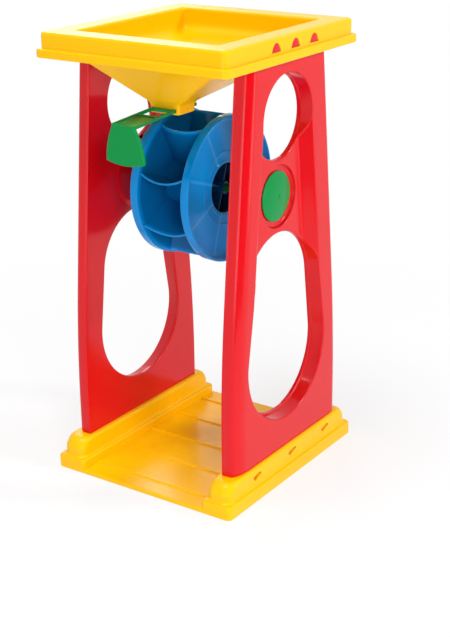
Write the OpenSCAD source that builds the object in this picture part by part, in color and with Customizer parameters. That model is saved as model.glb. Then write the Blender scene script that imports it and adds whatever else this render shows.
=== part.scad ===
// Sand wheel toy: a hopper on two side frames drops sand on a turning paddle wheel.
// Millimetres, +Z up, origin at the middle of the base's underside, axle along X, gate handle towards -Y.

/* [Base] */
// Half length of the base along the axle
base_half_x = 108.4; // [106:0.1:112]
// Half depth of the base, front to back
base_half_y = 117.9; // [114:0.1:124]
// Height of the ledge round each rail
ledge_h = 13.8; // [10:0.1:16]
// How far the ledge stands out beyond the rail
ledge_out = 4; // [2:0.1:6]
// Width of a rail along the axle
rail_w = 26.5; // [25:0.1:28]
// Height of the rails' top above the ground
rail_h = 33; // [31:0.1:36]
// Rounding of a rail's front and back ends
rail_end_r = 12; // [6:0.5:14]
// Thickness of the floor plate between the rails
floor_t = 4; // [3:0.1:6]
// Number of cross ribs on the floor plate
rib_count = 5; // [3:1:7]
// Height of a cross rib above the floor plate
rib_h = 1.6; // [0.8:0.1:3]
// Width of a cross rib
rib_w = 5; // [3:0.5:8]

/* [Frames] */
// Distance of a frame's outer face inside the rail's outer wall
frame_edge = 3.9; // [3.4:0.1:4.9]
// Depth of a frame along the axle
frame_depth = 17.1; // [16:0.1:18]
// Thickness of the flat inner cover
cover_t = 1.8; // [1.5:0.1:2.2]
// Thickness of the recessed web between the openings
web_t = 4.2; // [3:0.1:5]
// Half depth of a frame at the hopper
frame_top_half_y = 65.3; // [62:0.1:68]
// Height where the straight sides turn into the curved foot
knee_z = 195; // [185:1:205]
// Half depth of a frame at the knee
knee_half_y = 87.85; // [86:0.05:90]
// Height where the curved foot becomes upright
foot_z = 59.6; // [55:0.1:70]
// Half depth of a frame at its foot
foot_half_y = 94.4; // [93:0.1:97]
// Bevel of the outer front and back edges at the top
bevel_top = 9.5; // [8:0.5:11]
// Bevel of the outer front and back edges at the foot
bevel_foot = 14; // [10:0.5:15]
// Depth of that bevel along the axle
bevel_x = 4.5; // [3.5:0.1:6]
// Radius of the upper round opening
upper_r = 41; // [38:0.5:42]
// Height of the upper opening's middle
upper_z = 371; // [369:0.5:373]
// Radius of the lower opening's bottom curve
lower_r = 66; // [62:0.5:67]
// Height of the lower opening's bottom curve
lower_z = 132; // [130:0.5:136]
// Radius of the lower opening's top curve
lower_top_r = 58; // [55:0.5:59]
// Height of the lower opening's top curve
lower_top_z = 196; // [192:0.5:198]
// How far the recess's side walls lean over the web
recess_lean = 10.5; // [8:0.5:11]
// Radius of the round pocket round the axle cap
pocket_r = 31; // [28:0.5:33]
// Radius of the bearing boss on the inner face
boss_r = 34; // [20:0.5:36]
// Height of the bearing boss above the inner face
boss_h = 2; // [1:0.1:4]

/* [Snap tabs] */
// Width of a snap tab in the base rail
tab_w = 17.6; // [16:0.1:20]
// Length of the wedge window that a tab snaps into
wedge_l = 17.3; // [14:0.1:18]
// Height of that wedge window
wedge_h = 7.2; // [6:0.1:8]
// Depth of the wedge window's middle below the rail's top
wedge_drop = 9; // [8:0.1:10]
// Width of an arched nib under the hopper's rim
nib_w = 15; // [12:0.1:17]
// Height of an arched nib
nib_h = 8; // [6:0.1:9]
// Spacing of the tabs under the hopper
top_tab_gap = 33; // [30:0.5:36]
// Spacing of the tabs in the base rail
foot_tab_gap = 65.5; // [60:0.5:68]
// How far all the tabs sit behind the middle
tab_shift = 3.8; // [0:0.1:5]

/* [Hopper] */
// Room between a frame and the hopper's skirt
skirt_room = 2.2; // [1.5:0.1:3]
// Half depth of the hopper flange
flange_half_y = 115; // [112.5:0.1:118]
// Height of the hopper flange
flange_h = 8; // [6:0.1:9]
// How far the flange stands out beyond the skirt
flange_out = 4.2; // [2.8:0.1:4.4]
// Height of the flange's underside above the ground
flange_z = 426.5; // [425:0.1:428]
// Height of the rim above the ground
rim_z = 450; // [449:0.1:453]
// Thickness of the bowl's upright wall
liner_t = 2.25; // [2:0.05:2.6]
// Half depth of the bowl's mouth
mouth_half_y = 86; // [82:0.1:90]
// Rounding of the hopper's upright corners
corner_r = 5; // [4.5:0.5:8]
// Half length of the spout along the axle
spout_half_x = 17; // [16.5:0.1:19]
// Depth of the spout, front to back
spout_d = 26.3; // [25:0.1:28]
// Distance of the spout's middle in front of the axle
spout_y = 46.2; // [44:0.1:48]
// Height where the funnel meets the spout
spout_top_z = 384; // [384:0.1:386]
// Height of the spout's lower end
spout_z = 375; // [374:0.1:376]

/* [Gate] */
// Half width of the gate strip
gate_half_x = 14; // [13.5:0.1:14.2]
// Thickness of the gate strip
gate_t = 3; // [2.5:0.1:3.4]
// Height of the gate strip's middle in the spout
gate_z = 379.5; // [379.2:0.1:380]
// Downward tilt of the gate towards its handle
gate_tilt = 3.4; // [0:0.1:4]
// Reach of the handle in front of the spout's middle
handle_reach = 77; // [72:0.5:80]
// Length of the window in the strip
window_l = 21; // [18:0.5:21]
// Travel that brings the window over the spout
gate_travel = 28; // [27:0.5:28]
// Half width of the handle at its widest
handle_half_x = 22; // [18:0.5:24]
// Height of the hanging handle
handle_h = 39; // [34:0.5:41]
// Thickness of the handle
handle_t = 4; // [3:0.1:5]

/* [Wheel] */
// Height of the axle above the ground
axle_z = 293.4; // [292:0.1:294]
// Radius of the wheel's discs
wheel_r = 73; // [70:0.5:76]
// Half width of the wheel over its rims
wheel_half_x = 34.5; // [32:0.5:38]
// Width of the rim that stands out from each disc
lip_w = 7; // [4:0.5:9]
// Thickness of the rim
lip_t = 2.2; // [1.6:0.1:3]
// Thickness of a disc
disc_t = 2; // [1.6:0.1:3]
// Number of scoop paddles
paddle_count = 8; // [6:1:10]
// Outer radius of the paddles
paddle_r = 71.5; // [66:0.5:71.5]
// Depth of a paddle's scoop
scoop = 7; // [4:0.5:9]
// Thickness of the paddles, the core and the spokes
paddle_t = 2; // [1.6:0.1:2.6]
// Radius of the open hub
hub_r = 24.5; // [22:0.5:26]
// Number of spokes in the open hub
spoke_count = 4; // [3:1:6]
// Angle of the first paddle above the front
first_paddle = 18.5; // [0:0.5:44]
// Radius of the axle
axle_r = 4; // [3.5:0.1:4.5]
// Radius of the bush on the axle
bush_r = 6.5; // [6:0.1:8]

/* [Axle caps] */
// Radius of a cap
cap_r = 24.8; // [22:0.1:26]
// Rise of a cap's dome
cap_rise = 2.6; // [2:0.1:3.5]
// Thickness of a cap
cap_t = 1.6; // [1.2:0.1:2]

/* [Clearances] */
// Wall thickness of the yellow and red mouldings
wall = 2.5; // [2.2:0.1:2.6]
// Running clearance of the axle in its bearings
run_gap = 0.05; // [0.02:0.01:0.1]
// Sliding clearance of the gate in its slot
slide_gap = 0.35; // [0.3:0.05:0.4]
// Gap between snapped pieces
snap_gap = 0.3; // [0.2:0.05:0.4]

/* [Hidden] */
$fn = 96;
// Overlap of a cut beyond the face that it opens
cut = 1;
// Thickness of the end slices of a blended solid
slice = 0.1;
// Rail and ledge limits
rail_out_x = base_half_x - ledge_out;
rail_in_x = rail_out_x - rail_w;
rail_half_y = base_half_y - ledge_out;
// Frame levels
frame_out_x = rail_out_x - frame_edge;
frame_in_x = frame_out_x - frame_depth;
shell_in_x = frame_in_x + cover_t;
web_x = shell_in_x + web_t;
frame_top_z = rim_z - wall;
side_slope = (knee_half_y - frame_top_half_y) / (flange_z - knee_z);
foot_drop = foot_half_y - knee_half_y;
foot_rise = knee_z - foot_z;
foot_r = (foot_rise * foot_rise + foot_drop * foot_drop) / (2 * foot_drop);
foot_steps = 8;
recess_tuck = 0.3;
// Lean of the lower opening's straight sides
lower_lean = asin((lower_r - lower_top_r) / (lower_top_z - lower_z));
arc_steps = 20;
// Snap tabs: depth into the neighbour, thickness and reach of the nib
tab_t = wall;
tab_deep = wedge_drop + 0.7 * wedge_h;
nib_out = 3;
arch_steps = 8;
arch_power = 2.4;
// Hopper walls
skirt_half_x = frame_out_x + skirt_room + wall;
skirt_half_y = flange_half_y - flange_out;
flange_half_x = skirt_half_x + flange_out;
mouth_half_x = frame_in_x - snap_gap / 2 - liner_t;
funnel_lift = 2;
spout_hole_x = gate_half_x - 1.5;
// Top tab window
top_window_z = (flange_z + flange_h + frame_top_z) / 2;
// Gate strip
gate_end_y = spout_d / 2 + 4;
gate_rim = 2.5;
gate_dip = 1;
handle_neck = 2 * gate_dip;
handle_flare = 1.8;
handle_bow = 3.5;
handle_side_h = handle_h - handle_bow;
stop_out = 2;
// Paddle sheet
plate_x = wheel_half_x - lip_w;
paddle_half_x = plate_x - disc_t;
scoop_r = (paddle_half_x * paddle_half_x + scoop * scoop) / (2 * scoop);
core_t = 2.5;
core_r = hub_r + core_t;
paddle_root = hub_r + core_t / 5;
ring_h = 0.8;
ring_w = 1.4;
ring_gap = 9;
lip_draft = 3;
// Cap levels
cap_rim_x = shell_in_x + 0.8;
cap_lip = 1.8;
cap_edge_h = 0.9;
cap_seat = cap_rim_x - snap_gap;
cap_socket_r = axle_r + 3;
axle_end_x = cap_rim_x + cap_edge_h;
dome_r = (cap_r * cap_r + cap_rise * cap_rise) / (2 * cap_rise);
dome_steps = 10;

// Half depth of a side frame at height z
function half_y(z) =
    z > knee_z ? knee_half_y - side_slope * (z - knee_z)
    : z > foot_z ? foot_half_y - foot_r + sqrt(foot_r * foot_r - (z - foot_z) * (z - foot_z))
    : foot_half_y;

// Bevel of the frame's outer edges at height z
function bevel(z) = bevel_foot + (bevel_top - bevel_foot) * (z - rail_h) / (frame_top_z - rail_h);

// Levels of the frame's outline from bottom to top
function levels(bottom, top) =
    concat([bottom], [for (i = [0:foot_steps]) foot_z + foot_rise * i / foot_steps], [top]);

// Frame outline in Y and Z, drawn in by a fixed inset and by a share of the bevel
function outline(inset, share) =
    let (zs = levels(rail_h + inset, frame_top_z - inset))
    concat([for (z = zs) [half_y(z) - inset - share * bevel(z), z]],
           [for (i = [len(zs) - 1:-1:0]) [inset + share * bevel(zs[i]) - half_y(zs[i]), zs[i]]]);

// Lower opening's outline in Y and Z: two arcs joined by tangents
function lower_outline(grow) =
    concat([for (i = [0:arc_steps]) let (a = -180 - lower_lean + (180 + 2 * lower_lean) * i / arc_steps)
                (lower_r + grow) * [cos(a), sin(a)] + [0, lower_z]],
           [for (i = [0:arc_steps]) let (a = lower_lean + (180 - 2 * lower_lean) * i / arc_steps)
                (lower_top_r + grow) * [cos(a), sin(a)] + [0, lower_top_z]]);

// Recess outline between the openings, at the crest or drawn in towards the web
function recess_outline(grow) =
    let (low = lower_top_r - recess_tuck + grow, high = upper_r - recess_tuck + grow)
    [[-low, lower_top_z], [low, lower_top_z], [high, upper_z], [-high, upper_z]];

// Extrude a Y-Z outline along the axle from x0 to x1
module across(x0, x1) {
    translate([x0, 0, 0]) rotate([90, 0, 90]) linear_extrude(x1 - x0) children();
}

// Solid of revolution about the axle's direction from a profile of radius and X
module about_axle() {
    translate([0, 0, axle_z]) rotate([0, 90, 0]) rotate_extrude() children();
}

// Round bar along the axle from x0 to x1
module bar(x0, x1, r) {
    translate([x0, 0, axle_z]) rotate([0, 90, 0]) cylinder(h = x1 - x0, r = r);
}

// Box from low corner to high corner
module block(low, high) {
    translate(low) cube(high - low);
}

// Flat plate with rounded corners
module rounded(hx, hy, r) {
    square([2 * hx, 2 * (hy - r)], center = true);
    square([2 * (hx - r), 2 * hy], center = true);
    for (x = [-1, 1], y = [-1, 1]) translate([x * (hx - r), y * (hy - r)]) circle(r);
}

module tray(z0, z1, hx, hy, r) {
    translate([0, 0, z0]) linear_extrude(z1 - z0) rounded(hx, hy, r);
}

// One rail with its ledge, right side
module rail() {
    across(rail_in_x, rail_out_x) {
        translate([-rail_half_y, 0]) square([2 * rail_half_y, rail_h - rail_end_r]);
        translate([rail_end_r - rail_half_y, 0]) square([2 * (rail_half_y - rail_end_r), rail_h]);
        for (s = [-1, 1]) translate([s * (rail_half_y - rail_end_r), rail_h - rail_end_r]) circle(rail_end_r);
    }
    block([rail_in_x - ledge_out, -base_half_y, 0], [base_half_x, base_half_y, ledge_h]);
}

// Cuts in one rail, right side: hollow underside, tab slots and tab windows
module rail_cuts() {
    block([rail_in_x + wall, rail_end_r - rail_half_y, -cut],
          [rail_out_x - wall, rail_half_y - rail_end_r, rail_h - wall]);
    for (i = [-1:1]) translate([0, i * foot_tab_gap + tab_shift, 0]) {
        block([frame_out_x - tab_t - snap_gap, -tab_w / 2 - snap_gap, rail_h - wall - cut],
              [frame_out_x + snap_gap, tab_w / 2 + snap_gap, rail_h + cut]);
        across(rail_out_x - wall - cut, rail_out_x + cut) wedge(wedge_l, wedge_h);
    }
}

// Wedge outline of a rail window or the nib in it
module wedge(l, h) {
    translate([0, rail_h - wedge_drop])
        polygon([[-0.48 * l, 0.03 * h], [-0.23 * l, -0.57 * h], [0.52 * l, 0.21 * h], [0.16 * l, 0.43 * h]]);
}

module base() {
    color("gold") difference() {
        union() {
            block([-rail_in_x, -base_half_y, 0], [rail_in_x, base_half_y, floor_t]);
            for (i = [0:rib_count - 1])
                translate([0, base_half_y * (2 * i + 1 - rib_count) / rib_count, 0])
                    block([-rail_in_x, -rib_w / 2, 0], [rail_in_x, rib_w / 2, floor_t + rib_h]);
            rail();
            mirror([1, 0, 0]) rail();
        }
        rail_cuts();
        mirror([1, 0, 0]) rail_cuts();
    }
}

// Both openings of a frame, grown by a wall
module openings(x0, x1, grow) {
    translate([x0, 0, upper_z]) rotate([0, 90, 0]) cylinder(h = x1 - x0, r = upper_r + grow);
    across(x0, x1) polygon(lower_outline(grow));
}

// Recess with leaning walls between the openings
module recess(floor_x, grow) {
    hull() {
        across(floor_x, floor_x + slice) polygon(recess_outline(grow - recess_lean));
        across(frame_out_x, frame_out_x + slice) polygon(recess_outline(grow));
    }
}

// Hollow outer shell of a side frame, right side
module frame_shell() {
    difference() {
        hull() {
            across(shell_in_x, frame_out_x - bevel_x) polygon(outline(0, 0));
            across(frame_out_x - slice, frame_out_x) polygon(outline(0, 1));
        }
        openings(shell_in_x - cut, frame_out_x + cut, 0);
        recess(web_x, 0);
        bar(shell_in_x - cut, web_x + cut, pocket_r);
        difference() {
            hull() {
                across(shell_in_x - cut, frame_out_x - bevel_x) polygon(outline(wall, 0));
                across(frame_out_x - wall - slice, frame_out_x - wall) polygon(outline(wall, 0.8));
            }
            openings(shell_in_x - 2 * cut, frame_out_x + cut, wall);
            recess(shell_in_x - 2 * cut, wall);
        }
    }
    for (i = [-1:1]) {
        translate([0, i * foot_tab_gap + tab_shift, 0]) {
            block([frame_out_x - tab_t, -tab_w / 2, rail_h - tab_deep], [frame_out_x, tab_w / 2, rail_h + cut]);
            across(frame_out_x - cut, frame_out_x + nib_out) wedge(wedge_l - 4 * snap_gap, wedge_h - 4 * snap_gap);
        }
        translate([0, i * top_tab_gap + tab_shift, 0]) across(frame_out_x - cut, skirt_half_x - snap_gap)
            tab_window(nib_w, nib_h);
    }
}

// Pointed arch outline of a hopper window or the nib in it
module tab_window(w, h) {
    translate([0, top_window_z - h / 2]) polygon([for (i = [-arch_steps:arch_steps]) let (t = i / arch_steps)
        [t * w / 2, h * (1 - pow(abs(t), arch_power))]]);
}

// Flat inner cover of a side frame with its bearing, right side
module frame_cover() {
    difference() {
        union() {
            across(frame_in_x, shell_in_x) polygon(outline(0, 0));
            bar(frame_in_x - boss_h, frame_in_x + cover_t / 2, boss_r);
        }
        openings(frame_in_x - cut, shell_in_x + cut, 0);
        bar(frame_in_x - boss_h - cut, shell_in_x + cut, axle_r + run_gap);
    }
}

module left_frame_shell() { color("crimson") mirror([1, 0, 0]) frame_shell(); }

module left_frame_cover() { color("red") mirror([1, 0, 0]) frame_cover(); }

module right_frame_shell() { color("crimson") frame_shell(); }

module right_frame_cover() { color("red") frame_cover(); }

// Spout block, drawn in by a wall
module spout_block(z0, z1, hx, d) {
    block([-hx, -spout_y - d / 2, z0], [hx, -spout_y + d / 2, z1]);
}

module hopper() {
    color("gold") difference() {
        union() {
            difference() {
                union() {
                    tray(flange_z, flange_z + flange_h, flange_half_x, flange_half_y, corner_r + flange_out / 2);
                    tray(flange_z, rim_z, skirt_half_x, skirt_half_y, corner_r);
                }
                tray(flange_z - cut, rim_z - wall, skirt_half_x - wall, skirt_half_y - wall, corner_r - wall);
            }
            tray(flange_z, rim_z, mouth_half_x + liner_t, mouth_half_y + liner_t, corner_r);
            hull() {
                tray(flange_z, flange_z + slice, mouth_half_x + liner_t, mouth_half_y + liner_t, corner_r, $fn = 32);
                spout_block(spout_top_z, spout_top_z + slice, spout_half_x, spout_d);
            }
            spout_block(spout_z, spout_top_z + slice, spout_half_x, spout_d);
        }
        tray(flange_z + funnel_lift, rim_z + cut, mouth_half_x, mouth_half_y, corner_r - liner_t);
        hull() {
            tray(flange_z + funnel_lift, flange_z + funnel_lift + slice, mouth_half_x, mouth_half_y,
                 corner_r - liner_t, $fn = 32);
            spout_block(spout_top_z + funnel_lift, spout_top_z + funnel_lift + slice, spout_hole_x, spout_d - 2 * wall);
        }
        spout_block(spout_z - cut, spout_top_z + funnel_lift + slice, spout_hole_x, spout_d - 2 * wall);
        in_gate() block([-gate_half_x - slide_gap, -spout_d, -gate_t / 2 - slide_gap],
                        [gate_half_x + slide_gap, spout_d, gate_t / 2 + slide_gap]);
        for (s = [0, 1], i = [-1:1]) mirror([s, 0, 0]) translate([0, i * top_tab_gap + tab_shift, 0])
            across(skirt_half_x - wall - cut, skirt_half_x + cut)
                tab_window(nib_w + 4 * snap_gap, nib_h + 2 * snap_gap);
    }
}

// Frame of the gate: its origin in the middle of the spout, tilted down to the front
module in_gate() {
    translate([0, -spout_y, gate_z]) rotate([gate_tilt, 0, 0]) children();
}

// Half width of the handle at a share of its side's height below the strip's top
function handle_w(share) =
    let (neck = gate_half_x - handle_neck) neck + (handle_half_x - neck) * (1 - pow(1 - share, handle_flare));

// Handle outline in X and height below the strip's top: flared sides and a bowed lower edge
function handle_outline() =
    concat([for (i = [0:dome_steps - 1]) let (s = i / dome_steps) [-handle_w(s), -s * handle_side_h]],
           [for (i = [0:dome_steps]) let (x = handle_half_x * (2 * i / dome_steps - 1))
                [x, handle_bow * (x * x / handle_half_x / handle_half_x - 1) - handle_side_h]],
           [for (i = [dome_steps - 1:-1:0]) let (s = i / dome_steps) [handle_w(s), -s * handle_side_h]]);

module gate_slide() {
    color("green") in_gate() {
        difference() {
            block([-gate_half_x, -handle_reach + handle_t / 2, -gate_t / 2], [gate_half_x, gate_end_y, gate_t / 2]);
            block([gate_rim - gate_half_x, -handle_reach + handle_t, gate_t / 2 - gate_dip],
                  [gate_half_x - gate_rim, -gate_travel - window_l / 2 - gate_rim, gate_t / 2 + cut]);
            block([gate_rim - gate_half_x, -gate_travel - window_l / 2, -gate_t],
                  [gate_half_x - gate_rim, -gate_travel + window_l / 2, gate_t]);
        }
        block([-gate_half_x - stop_out, spout_d / 2 + snap_gap, -gate_t / 2],
              [gate_half_x + stop_out, gate_end_y, gate_t / 2]);
        translate([0, handle_t - handle_reach, gate_t / 2]) rotate([90, 0, 0])
            linear_extrude(handle_t) polygon(handle_outline());
    }
}

// Outer side of a wheel disc with two rings and a rim that stands out, radius and X
function disc_face() =
    [[wheel_r, wheel_half_x], [wheel_r - lip_t, wheel_half_x], [wheel_r - lip_t - lip_draft, plate_x],
     [core_r + ring_gap + ring_w, plate_x], [core_r + ring_gap + ring_w, plate_x + ring_h],
     [core_r + ring_gap, plate_x + ring_h], [core_r + ring_gap, plate_x],
     [core_r + ring_w, plate_x], [core_r + ring_w, plate_x + ring_h], [hub_r, plate_x + ring_h]];

// Scoop paddle sheet: a shallow arch across the wheel, run out along the radius
module paddle() {
    translate([0, 0, paddle_root]) linear_extrude(paddle_r - paddle_root) intersection() {
        difference() {
            translate([0, scoop_r - scoop]) circle(scoop_r + paddle_t / 2);
            translate([0, scoop_r - scoop]) circle(scoop_r - paddle_t / 2);
        }
        translate([-paddle_half_x - disc_t / 2, -2 * scoop])
            square([2 * paddle_half_x + disc_t / 2 - snap_gap, 3 * scoop]);
    }
}

// Turn a piece that points up so that it lies at an angle above the front
module at_angle(a) {
    translate([0, 0, axle_z]) rotate([90 - a, 0, 0]) children();
}

module wheel_drum() {
    color("steelblue", 0.7) difference() {
        union() {
            mirror([1, 0, 0]) about_axle()
                polygon(concat([[hub_r, -paddle_half_x], [core_r, -paddle_half_x], [core_r, paddle_half_x],
                                [wheel_r, paddle_half_x]], disc_face()));
            for (i = [0:paddle_count - 1]) at_angle(first_paddle + 360 * i / paddle_count) paddle();
            for (i = [0:spoke_count - 1]) at_angle(first_paddle + 360 * i / spoke_count)
                block([-paddle_half_x - disc_t / 2, -paddle_t / 2, (axle_r + bush_r) / 2],
                      [paddle_half_x - cut, paddle_t / 2, hub_r + core_t / 2]);
            bar(-plate_x, plate_x, bush_r);
        }
        bar(-plate_x - cut, plate_x + cut, axle_r);
    }
}

module wheel_disc() {
    color("steelblue", 0.7) about_axle()
        polygon(concat([[hub_r, paddle_half_x], [wheel_r, paddle_half_x]], disc_face()));
}

module axle() { color("seagreen") bar(-axle_end_x, axle_end_x, axle_r); }

// Level of a cap's dome above its rim plane at radius r
function dome(r) = cap_rim_x + cap_edge_h + cap_rise - dome_r + sqrt(dome_r * dome_r - r * r);

// Domed cap with a rim lip and a socket for the axle, right side
module cap() {
    about_axle() polygon(concat(
        [for (i = [0:dome_steps]) let (r = cap_r * i / dome_steps) [r, dome(r)]],
        [[cap_r, cap_rim_x], [cap_r - cap_lip, cap_rim_x]],
        [for (i = [dome_steps - 1:-1:0]) let (r = (cap_r - cap_lip) * i / dome_steps)
            if (r > cap_socket_r) [r, dome(r) - cap_t]],
        [[cap_socket_r, dome(cap_socket_r) - cap_t], [cap_socket_r, cap_seat], [axle_r, cap_seat],
         [axle_r, axle_end_x], [0, axle_end_x]]));
}

module left_axle_cap() { color("limegreen") mirror([1, 0, 0]) cap(); }

module right_axle_cap() { color("limegreen") cap(); }

base();
left_frame_shell();
left_frame_cover();
right_frame_shell();
right_frame_cover();
hopper();
gate_slide();
wheel_drum();
wheel_disc();
axle();
left_axle_cap();
right_axle_cap();
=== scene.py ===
import bmesh
import bpy
import numpy as np
from mathutils import Matrix


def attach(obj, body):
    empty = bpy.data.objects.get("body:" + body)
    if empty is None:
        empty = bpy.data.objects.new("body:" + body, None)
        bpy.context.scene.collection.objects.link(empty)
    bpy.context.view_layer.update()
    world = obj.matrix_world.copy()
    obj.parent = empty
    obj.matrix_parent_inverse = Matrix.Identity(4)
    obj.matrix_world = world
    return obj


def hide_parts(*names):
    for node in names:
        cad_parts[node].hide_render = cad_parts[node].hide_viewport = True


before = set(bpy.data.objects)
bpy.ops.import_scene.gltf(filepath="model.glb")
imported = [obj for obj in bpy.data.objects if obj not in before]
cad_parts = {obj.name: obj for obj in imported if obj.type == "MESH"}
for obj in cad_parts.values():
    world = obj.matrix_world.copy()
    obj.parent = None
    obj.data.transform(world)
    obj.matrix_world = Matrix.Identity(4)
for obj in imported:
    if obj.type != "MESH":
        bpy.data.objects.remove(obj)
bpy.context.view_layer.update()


# The base is one yellow moulding: two hollow rails, each with a ledge at its foot, and a thin ribbed floor
# between them. It stands flat on the ground, and wedge windows in the rails' outer walls take the side
# frames' snap tabs.


def paint(red, green, blue):
    """Linear colour of a screen colour written from 0 to 255, by the standard screen curve."""
    c = np.array([red, green, blue]) / 255
    return (*np.where(c < 0.04045, c / 12.92, ((c + 0.055) / 1.055) ** 2.4), 1.0)


def moulding_skin():
    """Shader group for moulded plastic: a cloudy tint on the colour, a fine orange peel, and a roughness with
    soft smears and faint rubbed streaks."""
    cloud_scale, smear_scale, peel_scale = 9, 30, 420
    smear_low, smear_high, streak_high = -0.02, 0.03, 0.02
    streak_turn, streak_stretch = (0.5, 0.3, 0.8), (8, 8, 320)
    group = bpy.data.node_groups.new("moulding_skin", "ShaderNodeTree")
    colour, number = "NodeSocketColor", "NodeSocketFloat"
    for name, kind in (("Colour", colour), ("Gloss", number), ("Tint", number)):
        group.interface.new_socket(name, in_out="INPUT", socket_type=kind)
    for name, kind in (("Colour", colour), ("Roughness", number), ("Height", number)):
        group.interface.new_socket(name, in_out="OUTPUT", socket_type=kind)
    add, link = group.nodes.new, group.links.new
    taken, given = add("NodeGroupInput"), add("NodeGroupOutput")
    place = add("ShaderNodeTexCoord").outputs["Object"]

    def noise(scale, detail, source=place):
        node = add("ShaderNodeTexNoise")
        node.inputs["Scale"].default_value, node.inputs["Detail"].default_value = scale, detail
        link(source, node.inputs["Vector"])
        return node.outputs["Fac"]

    def spread(source, low, high, start=0.3, end=0.7):
        node = add("ShaderNodeMapRange")
        link(source, node.inputs["Value"])
        for key, value in (("From Min", start), ("From Max", end), ("To Min", low), ("To Max", high)):
            node.inputs[key].default_value = value
        return node.outputs["Result"]

    def total(a, b):
        node = add("ShaderNodeMath")
        node.operation = "ADD"
        link(a, node.inputs[0])
        link(b, node.inputs[1])
        return node.outputs[0]

    lightness = add("ShaderNodeMath")
    lightness.operation = "MULTIPLY_ADD"
    link(spread(noise(cloud_scale, 3), -1, 1), lightness.inputs[0])
    link(taken.outputs["Tint"], lightness.inputs[1])
    lightness.inputs[2].default_value = 1
    shade = add("ShaderNodeMix")
    shade.data_type, shade.blend_type = "RGBA", "MULTIPLY"
    shade.inputs["Factor"].default_value = 1
    link(taken.outputs["Colour"], shade.inputs["A"])
    link(lightness.outputs[0], shade.inputs["B"])
    link(shade.outputs["Result"], given.inputs["Colour"])

    stretched = add("ShaderNodeMapping")
    stretched.inputs["Rotation"].default_value = streak_turn
    stretched.inputs["Scale"].default_value = streak_stretch
    link(place, stretched.inputs["Vector"])
    streak = spread(noise(1, 2, stretched.outputs["Vector"]), 0, streak_high, 0.62, 0.74)
    smear = spread(noise(smear_scale, 3), smear_low, smear_high)
    link(total(total(taken.outputs["Gloss"], smear), streak), given.inputs["Roughness"])
    link(noise(peel_scale, 2), given.inputs["Height"])
    return group


skin = moulding_skin()


def plastic(name, colour, gloss, shine, tint=0.03, peel=0.03):
    """Moulded plastic: a Principled shader fed by the moulding skin, with its orange peel as a bump."""
    peel_depth = 0.0004
    made = bpy.data.materials.new(name)
    made.use_nodes = True
    nodes, link = made.node_tree.nodes, made.node_tree.links.new
    shader = nodes["Principled BSDF"]
    marks = nodes.new("ShaderNodeGroup")
    marks.node_tree = skin
    marks.inputs["Colour"].default_value = colour
    marks.inputs["Gloss"].default_value, marks.inputs["Tint"].default_value = gloss, tint
    shader.inputs["Specular IOR Level"].default_value = shine
    bump = nodes.new("ShaderNodeBump")
    bump.inputs["Strength"].default_value, bump.inputs["Distance"].default_value = peel, peel_depth
    link(marks.outputs["Colour"], shader.inputs["Base Color"])
    link(marks.outputs["Roughness"], shader.inputs["Roughness"])
    link(marks.outputs["Height"], bump.inputs["Height"])
    link(bump.outputs["Normal"], shader.inputs["Normal"])
    return made


def sheet(points, wrap=False, flip=False, caps=False):
    """Shell over a grid of points, rows by columns by three. Neighbours make four-sided cells, whose front is
    to the side of columns crossed with rows; wrap joins the last column to the first, and caps close both end
    rows."""
    rows, cols = points.shape[:2]
    r, c = np.arange(rows - 1)[:, None] * cols, np.arange(cols if wrap else cols - 1)[None, :]
    d = (c + 1) % cols
    blocks = [np.stack([r + c, r + d, r + cols + d, r + cols + c], -1).reshape(-1, 4)]
    if caps:
        blocks += [np.arange(cols)[None, ::-1], np.arange(cols)[None, :] + (rows - 1) * cols]
    return points.reshape(-1, 3), [b[:, ::-1] if flip else b for b in blocks]


def to_side(shells, side):
    """Shells of the right side, or mirrored to the left with their cells turned round to match."""
    return [(points * [side, 1, 1], [b[:, ::side] for b in blocks]) for points, blocks in shells]


def build(name, shells, material, body, nodes, closed=True):
    """One object from shells measured in millimetres: joined, doubles merged, closed ones turned outwards,
    shaded smooth except along sharp edges, and set to ride on its body in the place of its nodes."""
    mm, weld, speck, sharp = 0.001, 2e-6, 1e-7, np.radians(38)
    starts = np.cumsum([0] + [len(p) for p, _ in shells])
    points = np.concatenate([p for p, _ in shells]) * mm
    faces = [row for (_, blocks), s in zip(shells, starts) for b in blocks for row in (b + s).tolist()]
    mesh = bpy.data.meshes.new(name)
    mesh.from_pydata(points.tolist(), [], faces)
    work = bmesh.new()
    work.from_mesh(mesh)
    bmesh.ops.remove_doubles(work, verts=work.verts, dist=weld)
    bmesh.ops.dissolve_degenerate(work, dist=speck, edges=work.edges)
    if closed:
        bmesh.ops.recalc_face_normals(work, faces=work.faces)
    work.to_mesh(mesh)
    work.free()
    mesh.polygons.foreach_set("use_smooth", np.ones(len(mesh.polygons), bool))
    mesh.set_sharp_from_angle(angle=sharp)
    mesh.materials.append(material)
    made = bpy.data.objects.new(name, mesh)
    bpy.context.scene.collection.objects.link(made)
    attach(made, body)
    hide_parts(*nodes)
    return made


def even_shading(made):
    """Normals weighted by face area, so that flat faces stay flat up to their rounded edges."""
    made.modifiers.new("even_shading", "WEIGHTED_NORMAL").keep_sharp = True


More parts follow.
